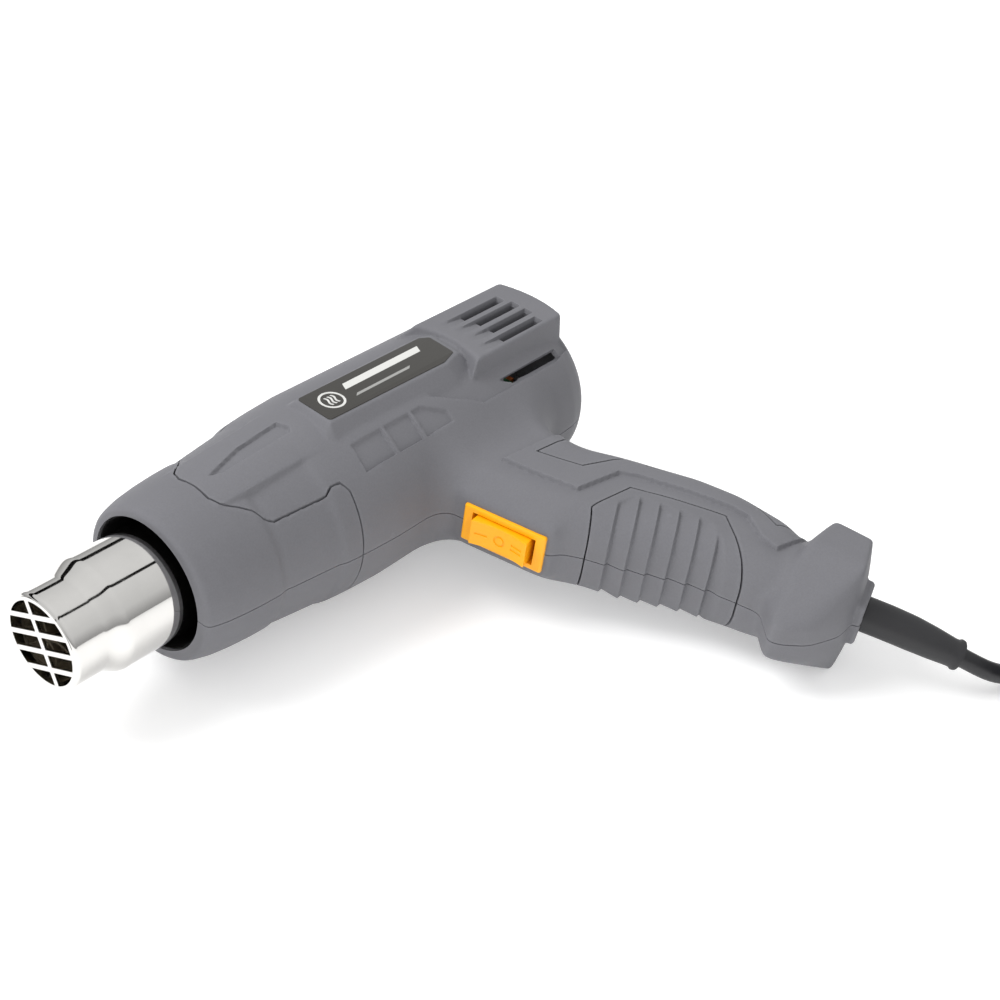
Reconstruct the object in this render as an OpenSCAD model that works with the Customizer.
// Hot air gun with a two-shell housing, steel nozzle, two-stage rocker switch and mains lead.
// Gun axes used by the modules: x runs from the nozzle tip back to the tail, the handle
// points towards -y, and z = 0 is the plane where the two housing shells meet.
// place() turns the gun onto its right side, as it lies on a bench.

/* [Nozzle] */
// Diameter of the nozzle tip that attachments slide over
tip_d = 34; // [32:0.5:36]
// Length of the narrow tip
tip_len = 17; // [15:0.5:19]
// Diameter of the wide part of the nozzle tube
tube_d = 40; // [39:0.5:41]
// Wall of the nozzle tube
tube_wall = 0.8; // [0.6:0.1:1]
// Width of the bars of the outlet grille
grille_bar = 1.5; // [1.2:0.1:2]
// Turn of the grille about the nozzle axis, in degrees
grille_turn = -26; // [-45:1:45]

/* [Housing] */
// Length of the gun from the nozzle tip to the tail
body_len = 242; // [241:0.5:244]
// Radius of the barrel around the motor
barrel_r = 37.5; // [37:0.1:38]
// Radius of the opening at the front of the nose
nose_bore_r = 24.4; // [23.5:0.1:25]
// Wall thickness of the plastic shells
wall = 2.8; // [2.4:0.1:3]
// Thickness of the soft covers set into the shells
cover_t = 1.4; // [1:0.1:1.6]
// Distance from the middle plane to the flat label and vent faces
flat_z = 38; // [37.8:0.1:38.4]

/* [Vents] */
// Width of an air slot
slot_w = 3.4; // [2.5:0.1:3.8]
// Length of an air slot
slot_len = 22; // [18:1:23]

/* [Switch] */
// Length of the switch bezel
bezel_l = 33; // [32:0.5:34]
// Width of the switch bezel
bezel_w = 15.8; // [15:0.2:16.5]
// Lean of the switch face from the vertical, in degrees
switch_lean = 9.2; // [8:0.1:10]

/* [Motor and fan] */
// Diameter of the motor can
motor_d = 36; // [34:0.5:37]
// Diameter of the motor shaft
shaft_d = 3.2; // [3:0.1:3.4]
// Radial clearance of the shaft in its bushes
shaft_gap = 0.03; // [0.02:0.01:0.08]
// Number of fan blades
blades = 9; // [7:1:9]
// Radius of the fan over its blade tips
fan_r = 30; // [28:0.5:30]

/* [Mains lead] */
// Diameter of the mains lead
cord_d = 7; // [6.8:0.1:7.2]
// Radius of the middle of the coiled turns
coil_r = 38.5; // [37:0.5:40]
// Turns of the coil side by side
coil_wide = 2; // [2:1:2]
// Layers of the coil
coil_high = 4; // [2:2:4]

/* [Rest position] */
// Roll of the gun onto its side, in degrees
roll = 5; // [4.5:0.1:5.5]

/* [Hidden] */
$fn = 64;
eps = 0.02;                     // overlap of a cut past the face it opens
big = 300;                      // larger than the whole gun
tip_r = tip_d / 2;
tube_r = tube_d / 2;
tube_in = tube_r - tube_wall;
motor_r = motor_d / 2;
shaft_r = shaft_d / 2;
cord_r = cord_d / 2;
glue = 0.1;                     // gap under the soft covers and labels
barrel_drop = 1;                // the barrel's middle lies this far below the nozzle axis

// Where the rolled gun touches the bench, and the middle of its footprint.
lean_y = -17;                   // lower edge of the flat vent face
rest_h = -lean_y * sin(roll) + flat_z * cos(roll);
mid_y = -71.5;

// Outer radius of the nose and barrel along x.
nose_x = 42;
nose_end_x = 105.5;
nose_outline = [[nose_x, 27.8], [45, 29.3], [49, 30.2], [54, 30.9], [63, 31.9], [72, 32.2],
                [78, 32.7], [87, 33.7], [96, 34.8], [nose_end_x, 36.2]];
barrel_outline = [[nose_end_x, 36.2], [111, 36.8], [123, barrel_r], [222, barrel_r],
                  [232, 35.5], [238, 32], [241, 27.5], [body_len, 24]];

// Flat-sided ribs across the barrel: [start x, end x, hole radius].
disc_ribs = [[91.4, 93.8, tube_r + 0.3], [98.2, 100.2, 22.9]];
mount_x = 197;                  // front of the rubber ring around the motor
mount_len = 6;
mount_r = motor_r + 3;

// Housing screws: [x, y], all driven from the right side.
screw_at = [[109.5, 31], [231, 22], [231, -26], [190, -57], [190, -134], [187, -163]];
screw_r = 1.5;
boss_r = 5;
head_r = 3.3;
head_z = 8;                     // depth of the screw heads from the middle plane

// Handle cross-sections: [y, front x, back x, half thickness, corner cut].
handle_rows = [[-20, 148, 216, 19, 7], [-48, 149.4, 201.6, 17.6, 7], [-63, 151.9, 199.9, 17.6, 7],
               [-84, 156.6, 209.6, 18, 7.5], [-104, 167, 216, 19.4, 8], [-122, 175.6, 219.6, 19.4, 8],
               [-154, 185, 217, 16, 7]];

// Foot: outline at the middle plane, and the smaller flat on its side.
foot_rim = [[174.4, -160], [175, -164], [182, -171.6], [195, -177.6], [208, -177.4],
            [228, -171], [236, -165], [236, -151], [226, -146], [196, -146], [182, -152]];
foot_flat = [[203, -152], [205, -174], [221, -170], [221, -154]];
foot_band = 8;
foot_middle = [207, -161];
foot_z = 24.6;

// Ribbed grip panel outline, seen from the side.
grip_panel = [[150, -100.4], [168.4, -86.5], [187.4, -89.8], [198.8, -123.2], [186, -139],
              [178, -147.6], [150, -150]];

// Cord clamp screws.
clamp_x = [203.5, 220.5];
clamp_y = -159;

// Mains lead exit at the foot, and the switch seat on the handle's front.
exit_at = [212, -174.5, 0];
exit_turn = 15;
switch_at = [151.4, -63.8, 0];

// Rocker.
window_l = 25.6;
window_w = 11.2;
pivot_in = 3.5;                 // depth of the rocker's pin axis below the handle face
pin_r = 1.5;

// Heater.
heater_x = [26, 92];
vane_r = 14;
wire_r = 1;
windings = 11;

// Route of the free lead from the boot to the coil, and from the coil to the plug.
// These points are in the part's own frame.
lead_route = [[103.2, -135.9, 16.2], [107.2, -142, 12.6], [112, -147, 8.6], [117.6, -151, 5.7],
              [124, -154.4, 4.5], [132.4, -157, 4.3]];
coil_at = [150, -200];
tie_t = 0.8;
plug_route = [[153, -158, 11.3], [161, -157.9, 11.2], [169, -157.6, 10.6], [177, -157, 10]];
plug_at = [177, -157, 11];
plug_t = 22;
plug_w = 36;
pin_l = 19;
plug_pin_d = 4.8;
coil_half = coil_wide * cord_d / 2;
coil_h = coil_high * cord_d;

// Front face of the circuit board behind the motor.
board_x = 216;

// ---------- frames and helpers ----------

// The gun, laid on its right side with its footprint centred on the origin.
module place() {
    translate([-body_len / 2, -mid_y, rest_h]) rotate([roll, 0, 0]) children();
}

// Switch frame: x into the handle, y up the handle, z across it.
module at_switch() { translate(switch_at) rotate([0, 0, switch_lean]) children(); }

// Lead exit frame: -y out of the foot.
module at_exit() { translate(exit_at) rotate([0, 0, exit_turn]) children(); }

// Solid of revolution about the barrel axis from [x, radius] points, closed on the axis.
module turned(points) {
    closed = concat([[points[0][0], 0]], points, [[points[len(points) - 1][0], 0]]);
    rotate([0, 90, 0]) rotate([0, 0, 90]) rotate_extrude() polygon([for (p = closed) [p[1], p[0]]]);
}

// Ring about the barrel axis.
module ring(x0, x1, r_in, r_out) {
    translate([x0, 0, 0]) rotate([0, 90, 0]) difference() {
        cylinder(r = r_out, h = x1 - x0);
        translate([0, 0, -1]) cylinder(r = r_in, h = x1 - x0 + 2);
    }
}

// Disc about the barrel axis.
module disc(x0, x1, r) { translate([x0, 0, 0]) rotate([0, 90, 0]) cylinder(r = r, h = x1 - x0); }

// Everything on one side of the middle plane: side is 1 for left, -1 for right.
module half(side) {
    intersection() {
        children();
        translate([-10, -big, side > 0 ? 0 : -big]) cube([big + 10, 2 * big, big]);
    }
}

// Mirror a left-hand piece to the right.
module sided(side) {
    if (side > 0) children();
    else mirror([0, 0, 1]) children();
}

function shrink(points, d) = [for (p = points) [p[0], p[1] - d]];

// ---------- housing ----------

// Eight-sided ring of the handle at one height: flat sides with cut corners, thinner by d.
function handle_ring(r, d) =
    let (x0 = r[1] + d, x1 = r[2] - d, z = r[3] - d, c = r[4] - d)
    [[x0 + c, r[0], z], [x1 - c, r[0], z], [x1, r[0], z - c], [x1, r[0], c - z],
     [x1 - c, r[0], -z], [x0 + c, r[0], -z], [x0, r[0], c - z], [x0, r[0], z - c]];

// Solid through a list of rings that all have the same number of points.
module loft(rings) {
    n = len(rings);
    m = len(rings[0]);
    walls = [for (i = [0 : n - 2]) for (k = [0 : m - 1]) let (j = (k + 1) % m)
             for (f = [[i * m + k, i * m + j, (i + 1) * m + k],
                       [i * m + j, (i + 1) * m + j, (i + 1) * m + k]]) f];
    start = [for (k = [m - 1 : -1 : 0]) k];
    end = [for (k = [0 : m - 1]) (n - 1) * m + k];
    polyhedron(points = [for (r = rings) each r], faces = concat([start], walls, [end]));
}

module handle_block(d) { loft([for (r = handle_rows) handle_ring(r, d)]); }

module foot_block(d) {
    hull() {
        translate([0, 0, d - foot_band]) linear_extrude(2 * (foot_band - d)) polygon(inset(foot_rim, d));
        translate([0, 0, d - foot_z]) linear_extrude(2 * (foot_z - d)) polygon(inset(foot_flat, d));
    }
}

// Outline pulled in towards the middle of the foot by about d.
function inset(points, d) =
    [for (p = points) let (v = foot_middle - p) p + v * (1.15 * d / norm(v))];

// Flat-topped label boss and vent block on both sides of the barrel.
module side_blocks() {
    for (s = [1, -1]) sided(s) {
        translate([0, 0, 20]) linear_extrude(flat_z - 20)
            polygon([[112.4, 6.8], [112.4, -12.4], [174, -13.4], [184, -10], [186, 0], [181, 7.4]]);
        translate([190, 0, 0]) rotate([90, 0, 90]) linear_extrude(50)
            polygon([[16, 20], [13, flat_z], [lean_y, flat_z], [-21, 33.5], [-21, 20]]);
    }
}

// Side window of the nose, where the shell itself shows between the soft covers, larger by d.
module nose_windows(d) {
    translate([62 - d, -24.5 - d, -60]) cube([nose_end_x - 62 + 2 * d, 46 + 2 * d, 120]);
}

// Shell thickness under the soft nose cover, full thickness in the windows.
module nose_core() {
    translate([0, -barrel_drop, 0]) turned(shrink(nose_outline, cover_t + glue));
    intersection() {
        translate([0, -barrel_drop, 0]) turned(nose_outline);
        nose_windows(0);
    }
}

module exit_block() { at_exit() translate([-8.5, -3, -9]) cube([17, 9, 18]); }

module switch_pad() { at_switch() translate([0, -17.5, -9.5]) cube([7, 35, 19]); }

// Cut for the soft grip panel on both sides and round the handle's front.
module grip_recess() {
    difference() {
        translate([0, 0, -40]) linear_extrude(80) polygon(grip_panel);
        handle_block(cover_t + glue);
    }
}

module outer_shape() {
    nose_core();
    translate([0, -barrel_drop, 0]) turned(barrel_outline);
    side_blocks();
    difference() {
        handle_block(0);
        grip_recess();
    }
    foot_block(0);
    exit_block();
    switch_pad();
}

// Solid left inside the hollow: ribs, motor posts, screw bosses and clamp pillars.
module inner_supports() {
    for (r = disc_ribs) ring(r[0], r[1], r[2], 60);
    for (a = [0 : 90 : 270]) rotate([a, 0, 0])
        translate([mount_x, mount_r, -2.5]) cube([mount_len, 30, 5]);
    for (p = screw_at) translate([p[0], p[1], -60]) cylinder(r = boss_r, h = 120);
    for (x = clamp_x) translate([x, clamp_y, -60]) cylinder(r = 3.1, h = 60);
}

module hollow() {
    difference() {
        union() {
            translate([0, -barrel_drop, 0]) {
                turned([[44, 27.8 - wall], [49, 30.2 - wall - cover_t], [63, 31.9 - wall - cover_t],
                        [87, 33.7 - wall - cover_t], [nose_end_x, 36.2 - wall - cover_t]]);
                turned([[nose_end_x - eps, 33.4], [123, barrel_r - wall], [222, barrel_r - wall],
                        [232, 35.5 - wall], [238, 28], [239.4, 24]]);
            }
            handle_block(wall);
            foot_block(wall);
        }
        inner_supports();
    }
}

module vent_slots() {
    for (s = [1, -1]) sided(s) {
        for (v = [[204.5, 5.2], [206.5, -0.9], [206.5, -7.5], [204.5, -14]])
            translate([v[0], v[1] - slot_w / 2, 25]) cube([slot_len, slot_w, 20]);
        translate([196, -barrel_drop, 0]) rotate([41, 0, 0])
            translate([0, -slot_w / 2, 30]) cube([30, slot_w, 12]);
    }
}

module screw_cuts() {
    for (p = screw_at) translate([p[0], p[1], 0]) {
        translate([0, 0, -big]) cylinder(r = head_r + 0.3, h = big - head_z);
        translate([0, 0, -head_z - 1]) cylinder(r = screw_r + 0.3, h = head_z + 1);
        translate([0, 0, -eps]) cylinder(r = screw_r, h = 12);
    }
    for (x = clamp_x) translate([x, clamp_y, -11]) cylinder(r = screw_r, h = 12);
}

module housing(side) {
    half(side) difference() {
        outer_shape();
        hollow();
        translate([nose_x - 1, 0, 0]) rotate([0, 90, 0]) cylinder(r = nose_bore_r, h = 4);
        vent_slots();
        screw_cuts();
        at_switch() translate([-5, -window_l / 2 - 1.3, -window_w / 2 - 1.3])
            cube([12, window_l + 2.6, window_w + 2.6]);
        at_exit() translate([0, 12, 0]) rotate([90, 0, 0]) cylinder(r = 6.6, h = 20);
        label_recess();
    }
}

module label_shape(d) {
    translate([115 + d, -10 + d]) square([59 - 2 * d, 15.8 - 2 * d]);
    polygon([[170, -10 + d], [173.5, -10 + d], [181.4 - d, -8 + d / 2], [182 - d, 3 - d / 2],
             [178, 5.8 - d], [170, 5.8 - d]]);
}

module label_recess() {
    for (s = [1, -1]) sided(s)
        translate([0, 0, flat_z - 0.4]) linear_extrude(2) label_shape(0);
}

module housing_left() { color([0.46, 0.47, 0.49]) place() housing(1); }

module housing_right() { color([0.46, 0.47, 0.49]) place() housing(-1); }

module nose_cover(side) {
    half(side) difference() {
        translate([0, -barrel_drop, 0]) difference() {
            turned(nose_outline);
            turned(concat([[nose_x - 1, 27.8 - cover_t]], shrink(nose_outline, cover_t),
                          [[nose_end_x + 1, 36.2 - cover_t]]));
        }
        nose_windows(glue);
        translate([nose_end_x - 0.2, -60, -60]) cube([5, 120, 120]);
    }
}

module nose_cover_left() { color([0.45, 0.46, 0.48]) place() nose_cover(1); }

module nose_cover_right() { color([0.45, 0.46, 0.48]) place() nose_cover(-1); }

module grip_pad(side) {
    half(side) intersection() {
        difference() {
            handle_block(0);
            handle_block(cover_t);
        }
        translate([0, 0, -40]) linear_extrude(80) polygon([for (p = grip_panel) p + [-0.1, 0]]);
    }
}

module grip_pad_left() { color([0.42, 0.43, 0.45]) place() grip_pad(1); }

module grip_pad_right() { color([0.42, 0.43, 0.45]) place() grip_pad(-1); }

module label_plate() {
    translate([0, 0, flat_z - 0.4]) linear_extrude(0.4) label_shape(0.15);
}

module label_left() { color([0.13, 0.13, 0.12]) place() label_plate(); }

module label_right() { color([0.13, 0.13, 0.12]) place() mirror([0, 0, 1]) label_plate(); }

// ---------- nozzle and heater ----------

module grille_holes() {
    hole_r = tip_r - grille_bar;
    rows = 5;
    pitch = 2 * hole_r / rows;
    intersection() {
        disc(-1, 3, hole_r);
        rotate([grille_turn, 0, 0]) for (i = [0 : rows - 1]) for (s = [0, 1])
            translate([-1, s * (hole_r + grille_bar / 2) - hole_r,
                       -hole_r + i * pitch + (i > 0 ? grille_bar / 2 : 0)])
                cube([4, hole_r - grille_bar / 2,
                      pitch - grille_bar / 2 * (i > 0 && i < rows - 1 ? 2 : 1)]);
    }
}

module nozzle_tube() {
    color([0.8, 0.8, 0.8]) place() difference() {
        union() {
            turned([[0, tip_r - 0.8], [0.8, tip_r], [tip_len, tip_r], [tip_len + 5, tube_r], [94, tube_r]]);
            disc(93.9, 96, tube_r + 6);
        }
        turned([[1, tip_r - tube_wall], [tip_len + 0.3, tip_r - tube_wall],
                [tip_len + 5.3, tube_in], [97, tube_in]]);
        grille_holes();
    }
}

module heat_shield_ring() {
    color([0.05, 0.05, 0.05]) place() ring(58, 59, tube_r + 0.15, 26);
}

module insulation_sleeve() {
    color([0.8, 0.75, 0.6]) place() ring(heater_x[0] - 1, heater_x[1] + 1, tube_in - 1, tube_in - 0.2);
}

// Star of mica vanes, with wider ends that centre it in the sleeve.
module heater_former() {
    end_r = tube_in - 1.2;
    end_len = 3;
    vane_t = 0.8;
    color([0.85, 0.8, 0.65]) place() difference() {
        translate([heater_x[0], 0, 0]) rotate([0, 90, 0]) linear_extrude(heater_x[1] - heater_x[0])
            for (a = [0, 60, 120]) rotate(a) square([2 * end_r, vane_t], center = true);
        ring(heater_x[0] + end_len, heater_x[1] - end_len, vane_r, tube_in);
    }
}

module heater_winding() {
    color([0.55, 0.5, 0.45]) place() for (i = [0 : windings - 1])
        translate([heater_x[0] + 8 + i * 5, 0, 0]) rotate([0, 90, 0])
            rotate_extrude() translate([vane_r + wire_r + 0.05, 0]) circle(r = wire_r, $fn = 24);
}

module heater_end_disc() {
    color([0.9, 0.88, 0.8]) place() difference() {
        disc(heater_x[1] + 1.1, heater_x[1] + 3.1, tube_in - 0.3);
        for (a = [30 : 60 : 330])
            rotate([a, 0, 0]) translate([80, 11, 0]) rotate([0, 90, 0]) cylinder(r = 4, h = 30);
    }
}

module thermal_cutout() {
    color([0.75, 0.75, 0.72]) place() {
        translate([heater_x[1] + 3.1, -5, -3]) cube([8, 10, 5]);
        translate([heater_x[1] + 11.1, -1.5, -1.2]) cube([5, 3, 0.5]);
    }
}

// ---------- blower ----------

module air_guide() {
    t = 1.6;
    color([0.2, 0.2, 0.22]) place() {
        difference() {
            turned([[96.1, 27], [98, 27], [98, 22.6], [104, 22.6], [128, 33], [163, 33]]);
            turned([[96, 21], [104, 21], [128, 31.4], [164, 31.4]]);
        }
        ring(160, 163, 6.4, motor_r);
        for (a = [45 : 90 : 315])
            rotate([a, 0, 0]) translate([160, motor_r - 0.5, -1.5]) cube([3, 14.5, 3]);
    }
}

module fan() {
    color([0.12, 0.12, 0.13]) place() {
        ring(142, 156, shaft_r, 7.5);
        for (i = [0 : blades - 1]) rotate([i * 360 / blades, 0, 0])
            translate([149, 7 + (fan_r - 7.6) / 2, 0]) rotate([0, 35, 0])
                cube([13, fan_r - 7.6, 1.2], center = true);
    }
}

module motor_shaft() { color([0.75, 0.75, 0.77]) place() disc(140, 212.6, shaft_r); }

module armature() { color([0.55, 0.35, 0.2]) place() ring(172, 195, shaft_r, 12); }

module commutator() { color([0.7, 0.45, 0.25]) place() ring(198.5, 204.5, shaft_r, 4.5); }

module motor_can() {
    color([0.6, 0.6, 0.62]) place() difference() {
        union() {
            disc(163, 206, motor_r);
            disc(160, 163.1, 6.2);
        }
        disc(164.2, 207, motor_r - 1);
        disc(159, 165, 3);
    }
}

module motor_magnets() {
    color([0.2, 0.2, 0.2]) place() difference() {
        ring(170, 197, 12.6, motor_r - 1);
        translate([160, -30, -4]) cube([50, 60, 8]);
    }
}

module motor_end_cap() {
    color([0.15, 0.15, 0.15]) place() difference() {
        union() {
            disc(206, 210, motor_r);
            disc(198, 206.1, motor_r - 1.1);
            disc(209, 214.5, 5);
        }
        disc(197, 207, 11);
        disc(206, 213.2, 3);
        for (s = [-1, 1]) translate([199.4, -2, s > 0 ? 4 : -12.5]) cube([4.2, 4, 8.5]);
        for (s = [-1, 1]) translate([197, s * 14 - 1.6, -0.4]) cube([20, 3.2, 0.8]);
    }
}

module bush(x0, x1) { ring(x0, x1, shaft_r + shaft_gap, 3); }

module front_bush() { color([0.7, 0.55, 0.35]) place() bush(160, 164.2); }

module rear_bush() { color([0.7, 0.55, 0.35]) place() bush(206, 210); }

module carbon_brushes() {
    color([0.15, 0.15, 0.15]) place() for (s = [-1, 1])
        translate([199.4, -2, s > 0 ? 4.8 : -12.4]) cube([4.2, 4, 7.6]);
}

module motor_terminals() {
    color([0.8, 0.75, 0.6]) place() for (s = [-1, 1])
        translate([203, s * 14 - 1.6, -0.4]) cube([13, 3.2, 0.8]);
}

module motor_mount_ring() {
    color([0.08, 0.08, 0.08]) place() ring(mount_x, mount_x + mount_len, motor_r, mount_r);
}

module circuit_board() {
    color([0.2, 0.35, 0.2]) place() translate([board_x, -17, -12]) cube([1.6, 34, 24]);
}

module rectifier_diodes() {
    color([0.1, 0.1, 0.1]) place() for (y = [-12, -6, 0, 6])
        translate([board_x + 3.2, y, -9.5]) cylinder(r = 1.6, h = 6);
}

module capacitor() {
    color([0.7, 0.35, 0.15]) place() translate([board_x + 1.6, -8, 2]) cube([8, 14, 6]);
}

// ---------- switch ----------

module switch_body() {
    color([1, 0.66, 0.05]) place() at_switch() difference() {
        union() {
            translate([-2.2, -bezel_l / 2, -bezel_w / 2]) cube([2.2, bezel_l, bezel_w]);
            translate([-0.1, -window_l / 2 - 1.2, -window_w / 2 - 1.2])
                cube([21, window_l + 2.4, window_w + 2.4]);
        }
        translate([-3, -window_l / 2, -window_w / 2]) cube([12.6, window_l, window_w]);
        translate([pivot_in, 0, -window_w / 2 - 0.9]) cylinder(r = pin_r + 0.05, h = window_w + 1.8);
    }
}

module switch_rocker() {
    color([1, 0.68, 0.08]) place() at_switch() {
        translate([0, 0, -5.3]) linear_extrude(10.6)
            polygon([[-5.4, 11.2], [-4.4, 5.6], [-4, 0], [-4.4, -5.6], [-5.4, -11.2],
                     [5.6, -11.2], [7.6, -2.4], [7.6, 2.4], [5.6, 11.2]]);
        translate([pivot_in, 0, -6.4]) cylinder(r = pin_r, h = 12.8);
    }
}

module switch_terminals() {
    color([0.8, 0.75, 0.6]) place() at_switch() for (y = [-9, -3, 3, 9])
        translate([20.9, y - 0.4, -2.4]) cube([7, 0.8, 4.8]);
}

// ---------- wiring and lead exit ----------

module cord_clamp() {
    color([0.3, 0.3, 0.32]) place() difference() {
        translate([200, clamp_y - 3, 0]) cube([24, 6, 5.6]);
        translate([212, clamp_y + 5, 0]) rotate([90, 0, 0]) cylinder(r = cord_r, h = 10);
        for (x = clamp_x) translate([x, clamp_y, -1]) cylinder(r = screw_r + 0.2, h = 10);
    }
}

module clamp_screws() {
    color([0.75, 0.75, 0.77]) place() for (x = clamp_x) translate([x, clamp_y, 0]) {
        translate([0, 0, 5.6]) cylinder(r = 2.8, h = 2);
        translate([0, 0, -10]) cylinder(r = screw_r, h = 15.8);
    }
}

module housing_screws() {
    color([0.75, 0.75, 0.77]) place() for (p = screw_at) translate([p[0], p[1], 0]) difference() {
        union() {
            translate([0, 0, -head_z - 2.2]) cylinder(r = head_r, h = 2.2);
            translate([0, 0, -head_z - 0.1]) cylinder(r = screw_r, h = head_z + 11);
        }
        for (a = [0, 90]) rotate([0, 0, a]) translate([-2, -0.4, -head_z - 3]) cube([4, 0.8, 2]);
    }
}

// Sheathed end of the lead inside the foot, and two cores up to the switch.
module inner_leads() {
    core_r = 1.1;
    color([0.25, 0.2, 0.18]) place() {
        translate([212, -150, 0]) rotate([90, 0, 0]) cylinder(r = cord_r, h = 18);
        for (s = [-1, 1]) hull() for (p = [[212, -150.2], [205, -128]])
            translate([p[0], p[1], s * 1.8]) cube(2 * core_r, center = true);
        for (s = [-1, 1]) hull() for (p = [[205, -128], [180.6, -66 - 4 * s]])
            translate([p[0], p[1], s * 1.8]) cube(2 * core_r, center = true);
    }
}

module cord_boot() {
    color([0.1, 0.1, 0.1]) place() at_exit() {
        translate([0, 6, 0]) rotate([90, 0, 0]) cylinder(r = 9, h = 2.6);
        translate([0, 6, 0]) rotate([90, 0, 0]) cylinder(r = 6.5, h = 12);
        tube([[0, -4, 0], [0, -12, -0.3], [0.4, -20, -1.2],
              [1.3, -28, -2.8], [2.6, -34.5, -4.6], [3.4, -37.5, -5.4]],
             [6.5, 6.4, 6.3, 5.9, 5.3, 6], 12);
    }
}

// ---------- free lead, coil and plug ----------

function unit(v) = v / norm(v);
function heading(pts, i) = unit(pts[min(i + 1, len(pts) - 1)] - pts[max(i - 1, 0)]);
function side_of(d) = unit(cross(d, [0, 0, 1]));

// Swept tube through the points, with a radius at each point and flat ends.
module tube(pts, radii, sides) {
    n = len(pts);
    rings = [for (i = [0 : n - 1]) let (d = heading(pts, i), u = side_of(d), v = cross(u, d))
             for (k = [0 : sides - 1]) let (a = 360 * k / sides)
             pts[i] + radii[i] * (cos(a) * u + sin(a) * v)];
    walls = [for (i = [0 : n - 2]) for (k = [0 : sides - 1]) let (m = (k + 1) % sides)
             for (f = [[i * sides + k, i * sides + m, (i + 1) * sides + k],
                       [i * sides + m, (i + 1) * sides + m, (i + 1) * sides + k]]) f];
    start = [for (k = [sides - 1 : -1 : 0]) k];
    end = [for (k = [0 : sides - 1]) (n - 1) * sides + k];
    polyhedron(points = rings, faces = concat([start], walls, [end]));
}

module mains_cord() {
    color([0.08, 0.08, 0.08]) tube(lead_route, [for (p = lead_route) cord_r], 10);
}

module cord_coil() {
    color([0.08, 0.08, 0.08]) translate([coil_at[0], coil_at[1], tie_t])
        rotate_extrude() translate([coil_r - coil_half, 0]) square([2 * coil_half, coil_h]);
}

module coil_tie() {
    color([0.05, 0.05, 0.05]) translate([coil_at[0], coil_at[1], 0]) difference() {
        translate([coil_r - coil_half - tie_t, -5, 0])
            cube([2 * coil_half + 2 * tie_t, 10, coil_h + 2 * tie_t]);
        translate([0, 0, tie_t]) rotate_extrude()
            translate([coil_r - coil_half, 0]) square([2 * coil_half, coil_h]);
    }
}

module plug_lead() {
    color([0.08, 0.08, 0.08]) tube(plug_route, [for (p = plug_route) cord_r], 10);
}

module plug_body() {
    color([0.1, 0.1, 0.1]) translate(plug_at) {
        hull() {
            translate([28, 0, 0]) rotate([0, 90, 0]) cylinder(r = 8, h = 1, $fn = 32);
            for (s = [-1, 1]) translate([44, s * (plug_w - plug_t) / 2, 0]) rotate([0, 90, 0])
                cylinder(r = plug_t / 2, h = 20, $fn = 32);
        }
        hull() {
            translate([-1, 0, -1.2]) rotate([0, 90, 0]) cylinder(r = 4.4, h = 1, $fn = 32);
            translate([28, 0, 0]) rotate([0, 90, 0]) cylinder(r = 7, h = 1, $fn = 32);
        }
    }
}

module plug_pins() {
    color([0.8, 0.8, 0.8]) translate(plug_at) for (s = [-1, 1])
        translate([64, s * 9.5, 0]) rotate([0, 90, 0]) cylinder(d = plug_pin_d, h = pin_l);
}

housing_left();
housing_right();
nose_cover_left();
nose_cover_right();
grip_pad_left();
grip_pad_right();
label_left();
label_right();
nozzle_tube();
heat_shield_ring();
insulation_sleeve();
heater_former();
heater_winding();
heater_end_disc();
thermal_cutout();
air_guide();
fan();
motor_shaft();
armature();
commutator();
motor_can();
motor_magnets();
motor_end_cap();
front_bush();
rear_bush();
carbon_brushes();
motor_terminals();
motor_mount_ring();
circuit_board();
rectifier_diodes();
capacitor();
switch_body();
switch_rocker();
switch_terminals();
cord_clamp();
clamp_screws();
housing_screws();
inner_leads();
cord_boot();
mains_cord();
cord_coil();
coil_tie();
plug_lead();
plug_body();
plug_pins();
